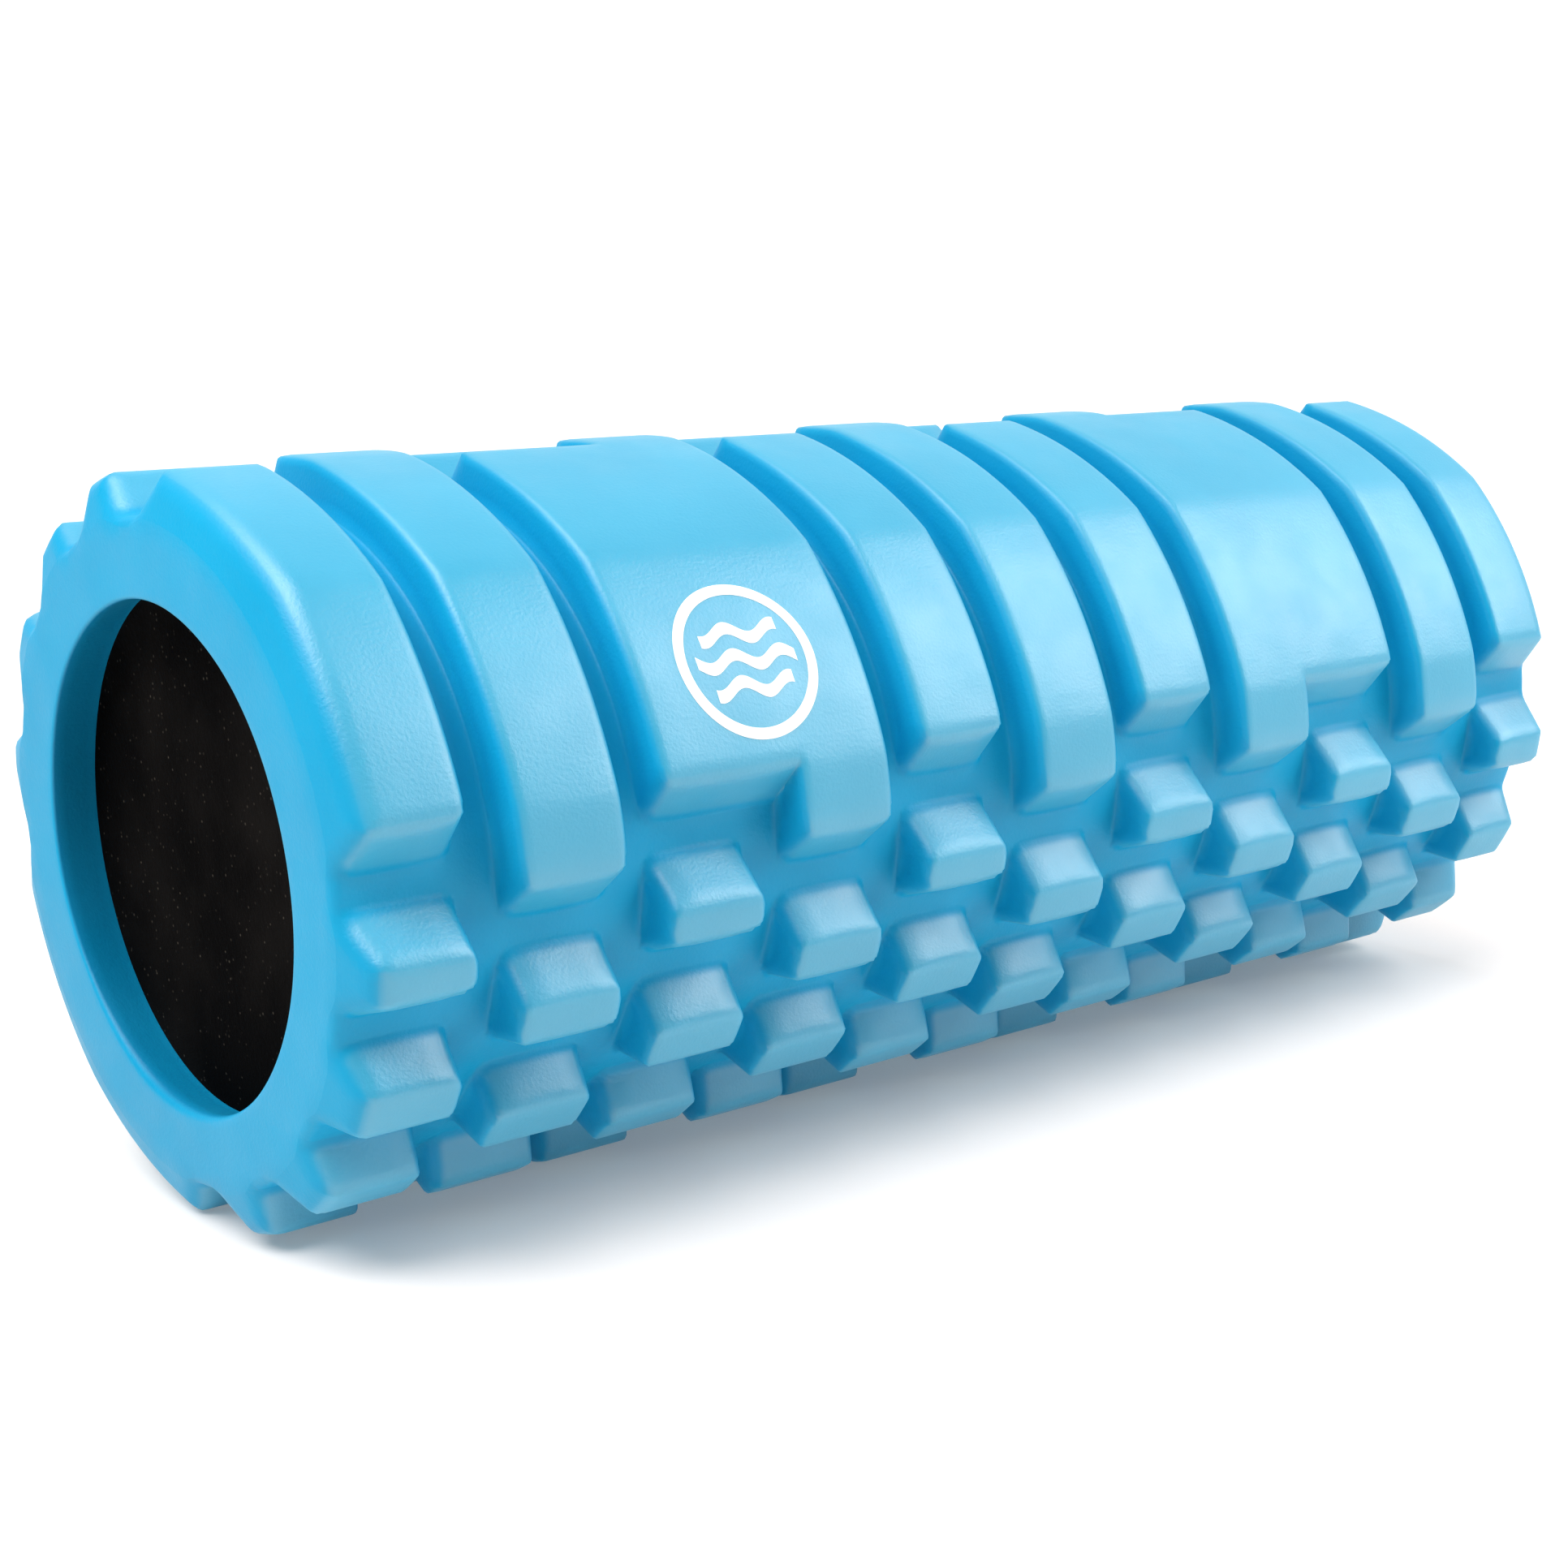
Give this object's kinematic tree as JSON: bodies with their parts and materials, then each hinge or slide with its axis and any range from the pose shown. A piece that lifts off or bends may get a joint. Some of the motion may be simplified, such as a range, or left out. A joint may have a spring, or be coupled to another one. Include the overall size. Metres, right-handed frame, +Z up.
{
  "type": "foam roller",
  "caption": "Grid foam roller: a light blue moulded foam sleeve with bands and knobs around a rigid core tube closed by black foam caps.",
  "frame": {"origin": "below the middle of the roller, on the surface that it lies on (bottom centre of the bounding box)", "axes": "+X along the roller's axis towards its right end, -Y its front with the first band low on it, +Z up"},
  "size_m": [0.33, 0.1416, 0.1416],
  "materials": {
    "blue_foam": "satin moulded foam skin",
    "black_tube": "extruded, matt",
    "black_foam": "cut foam with pale flecks"
  },
  "bodies": {
    "root": {"foam_sleeve": "blue_foam", "core_tube": "black_tube", "left_end_cap": "black_foam", "right_end_cap": "black_foam"}
  },
  "joints": []
}
